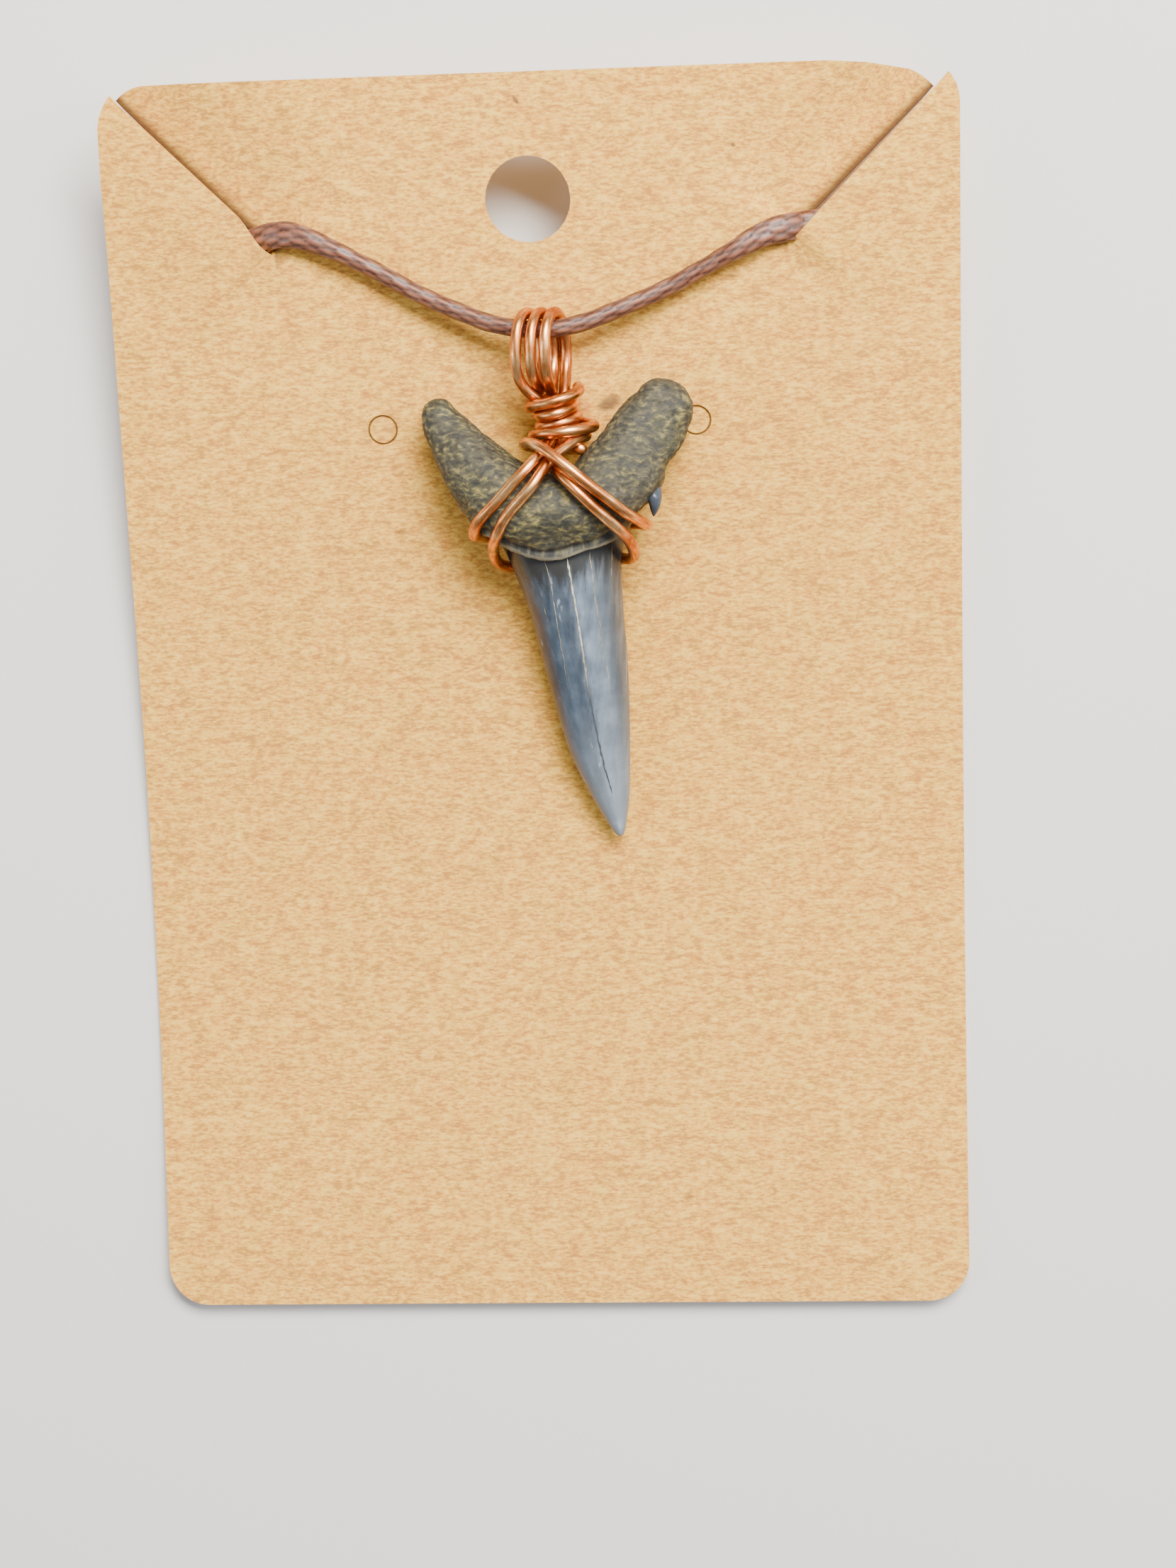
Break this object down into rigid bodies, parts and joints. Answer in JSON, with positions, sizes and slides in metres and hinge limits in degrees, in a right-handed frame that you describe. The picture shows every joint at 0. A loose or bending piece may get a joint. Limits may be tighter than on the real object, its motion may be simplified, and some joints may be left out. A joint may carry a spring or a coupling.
{
  "type": "fossil sand tiger shark tooth pendant on its card",
  "caption": "Slender fossil shark tooth with a grey crown and a forked brown root, wrapped in copper wire and hung on a waxed cord through a kraft card with a hang hole.",
  "frame": {"origin": "under the middle of the card, on the surface that it lies on", "axes": "+Y up the card towards its hang hole, +Z out of the card's front towards the viewer, +X to the right"},
  "size_m": [0.06, 0.0898, 0.012],
  "materials": {
    "fossil": "fossil tooth: glossy blue-grey enamel and a matte olive-brown root",
    "copper": "bright bare copper wire, lightly drawn",
    "kraft": "matte recycled kraft board with fine fibres",
    "cord": "waxed braid with a low sheen",
    "nickel": "nickel plate, polished"
  },
  "bodies": {
    "root": {"tooth": "fossil", "copper_wire": "copper", "card": "kraft", "cord_front": "cord", "cord_coil": "cord", "cord_tail": "cord", "cord_cap_left": "nickel", "cord_cap_right": "nickel", "jump_ring": "nickel", "clasp": "nickel"}
  },
  "joints": []
}
